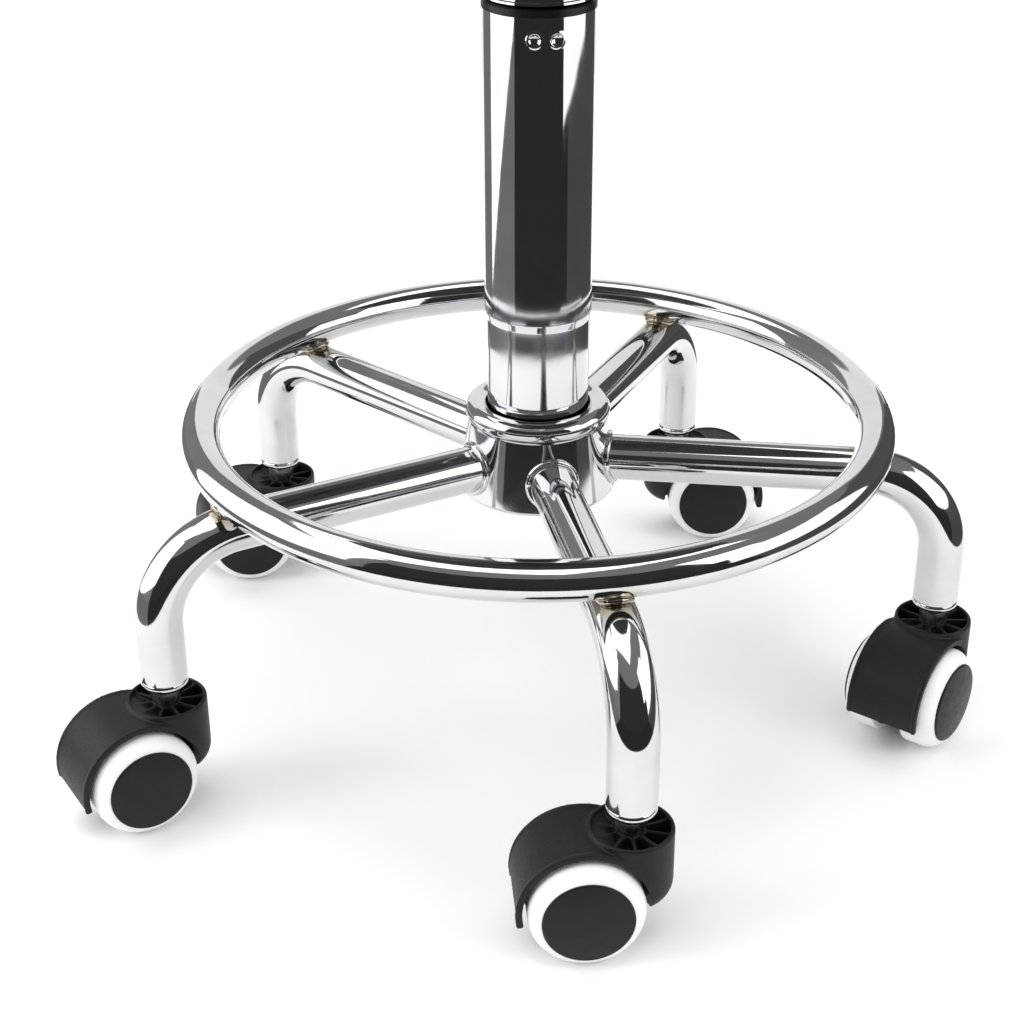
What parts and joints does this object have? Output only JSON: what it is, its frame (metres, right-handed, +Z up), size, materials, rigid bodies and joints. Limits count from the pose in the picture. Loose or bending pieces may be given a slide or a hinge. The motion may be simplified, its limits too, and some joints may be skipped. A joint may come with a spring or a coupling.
{
  "type": "rolling stylist stool",
  "caption": "Round padded salon stool on a chromed gas-lift column, with a foot ring welded over bent tube legs and twin-wheel casters under a ribbed black hood.",
  "frame": {"origin": "on the floor, on the column's axis", "axes": "+Z up along the column, +X along one leg, and the seat's lever points along -X"},
  "size_m": [0.4325, 0.4369, 0.512],
  "materials": {
    "chrome": "polished chromium plate",
    "steel": "zinc plated or ground steel",
    "black_enamel": "satin black powder coat",
    "black_plastic": "finely textured moulded nylon",
    "white_polyurethane": "smooth cast polyurethane",
    "seal_rubber": "moulded nitrile rubber",
    "plywood": "black-stained birch plywood",
    "foam": "open-cell polyurethane foam",
    "vinyl": "grained upholstery vinyl"
  },
  "bodies": {
    "base": {"hub_shell": "chrome", "hub_socket": "steel", "foot_ring": "chrome", "weld_beads": "chrome", "stem_sockets": "chrome", "caster_stems": "steel", "column_tube": "chrome", "guide_sleeve": "black_plastic", "thrust_bearing": "steel", "leg_1": "chrome", "leg_2": "chrome", "leg_3": "chrome", "leg_4": "chrome", "leg_5": "chrome"},
    "lift_rod": {"piston_rod": "steel", "piston": "black_plastic", "rod_clip": "steel"},
    "seat": {"pressure_tube": "black_enamel", "rod_seal": "seal_rubber", "lift_cover": "chrome", "cone_socket": "steel", "mechanism_pan": "black_enamel", "lever_pin": "steel", "seat_screws": "steel", "seat_board": "plywood", "seat_foam": "foam", "seat_cover": "vinyl"},
    "lever": {"lever_rod": "chrome", "lever_grip": "black_plastic"},
    "button": {"release_button": "steel"},
    "caster_1": {"caster_hood_1": "black_plastic", "caster_axle_1": "steel"},
    "wheel_1a": {"wheel_tread_1a": "white_polyurethane", "wheel_core_1a": "black_plastic"},
    "wheel_1b": {"wheel_tread_1b": "white_polyurethane", "wheel_core_1b": "black_plastic"},
    "caster_2": {"caster_hood_2": "black_plastic", "caster_axle_2": "steel"},
    "wheel_2a": {"wheel_tread_2a": "white_polyurethane", "wheel_core_2a": "black_plastic"},
    "wheel_2b": {"wheel_tread_2b": "white_polyurethane", "wheel_core_2b": "black_plastic"},
    "caster_3": {"caster_hood_3": "black_plastic", "caster_axle_3": "steel"},
    "wheel_3a": {"wheel_tread_3a": "white_polyurethane", "wheel_core_3a": "black_plastic"},
    "wheel_3b": {"wheel_tread_3b": "white_polyurethane", "wheel_core_3b": "black_plastic"},
    "caster_4": {"caster_hood_4": "black_plastic", "caster_axle_4": "steel"},
    "wheel_4a": {"wheel_tread_4a": "white_polyurethane", "wheel_core_4a": "black_plastic"},
    "wheel_4b": {"wheel_tread_4b": "white_polyurethane", "wheel_core_4b": "black_plastic"},
    "caster_5": {"caster_hood_5": "black_plastic", "caster_axle_5": "steel"},
    "wheel_5a": {"wheel_tread_5a": "white_polyurethane", "wheel_core_5a": "black_plastic"},
    "wheel_5b": {"wheel_tread_5b": "white_polyurethane", "wheel_core_5b": "black_plastic"}
  },
  "joints": [
    {"name": "seat_swivel", "type": "hinge", "parent": "base", "child": "lift_rod", "pos_m": [0, 0, 0.128], "axis": [0, 0, 1], "continuous": true},
    {"name": "seat_height", "type": "slide", "parent": "lift_rod", "child": "seat", "axis": [0, 0, 1], "range_m": [0, 0.12]},
    {"name": "lever_pull", "type": "hinge", "parent": "seat", "child": "lever", "pos_m": [-0.03, 0, 0.418], "axis": [0, 1, 0], "range_deg": [0, 6]},
    {"name": "button_press", "type": "slide", "parent": "seat", "child": "button", "axis": [0, 0, -1], "range_m": [0, 0.0036], "stiffness_N_per_m": 400},
    {"name": "caster_1_swivel", "type": "hinge", "parent": "base", "child": "caster_1", "pos_m": [0.06069, -0.18679, 0.045], "axis": [0, 0, 1], "continuous": true},
    {"name": "wheel_1a_spin", "type": "hinge", "parent": "caster_1", "child": "wheel_1a", "pos_m": [0.04435, -0.20611, 0.025], "axis": [0.2079, -0.9781, 0], "continuous": true},
    {"name": "wheel_1b_spin", "type": "hinge", "parent": "caster_1", "child": "wheel_1b", "pos_m": [0.03791, -0.17578, 0.025], "axis": [0.2079, -0.9781, 0], "continuous": true},
    {"name": "caster_2_swivel", "type": "hinge", "parent": "base", "child": "caster_2", "pos_m": [-0.15889, -0.11544, 0.045], "axis": [0, 0, 1], "continuous": true},
    {"name": "wheel_2a_spin", "type": "hinge", "parent": "caster_2", "child": "wheel_2a", "pos_m": [-0.16468, -0.14007, 0.025], "axis": [0.6293, -0.7771, 0], "continuous": true},
    {"name": "wheel_2b_spin", "type": "hinge", "parent": "caster_2", "child": "wheel_2b", "pos_m": [-0.18419, -0.11598, 0.025], "axis": [0.6293, -0.7771, 0], "continuous": true},
    {"name": "caster_3_swivel", "type": "hinge", "parent": "base", "child": "caster_3", "pos_m": [-0.15889, 0.11544, 0.045], "axis": [0, 0, 1], "continuous": true},
    {"name": "wheel_3a_spin", "type": "hinge", "parent": "caster_3", "child": "wheel_3a", "pos_m": [-0.17384, 0.09503, 0.025], "axis": [0.2756, -0.9613, 0], "continuous": true},
    {"name": "wheel_3b_spin", "type": "hinge", "parent": "caster_3", "child": "wheel_3b", "pos_m": [-0.18239, 0.12483, 0.025], "axis": [0.2756, -0.9613, 0], "continuous": true},
    {"name": "caster_4_swivel", "type": "hinge", "parent": "base", "child": "caster_4", "pos_m": [0.06069, 0.18679, 0.045], "axis": [0, 0, 1], "continuous": true},
    {"name": "wheel_4a_spin", "type": "hinge", "parent": "caster_4", "child": "wheel_4a", "pos_m": [0.07802, 0.20522, 0.025], "axis": [-0.1564, 0.9877, 0], "continuous": true},
    {"name": "wheel_4b_spin", "type": "hinge", "parent": "caster_4", "child": "wheel_4b", "pos_m": [0.08287, 0.17461, 0.025], "axis": [-0.1564, 0.9877, 0], "continuous": true},
    {"name": "caster_5_swivel", "type": "hinge", "parent": "base", "child": "caster_5", "pos_m": [0.1964, 0, 0.045], "axis": [0, 0, 1], "continuous": true},
    {"name": "wheel_5a_spin", "type": "hinge", "parent": "caster_5", "child": "wheel_5a", "pos_m": [0.19982, -0.02507, 0.025], "axis": [0.866, -0.5, 0], "continuous": true},
    {"name": "wheel_5b_spin", "type": "hinge", "parent": "caster_5", "child": "wheel_5b", "pos_m": [0.17298, -0.00957, 0.025], "axis": [0.866, -0.5, 0], "continuous": true}
  ],
  "couplings": [
    {"joint": "button_press", "follows": "lever_pull", "m_per_rad": 0.034}
  ]
}
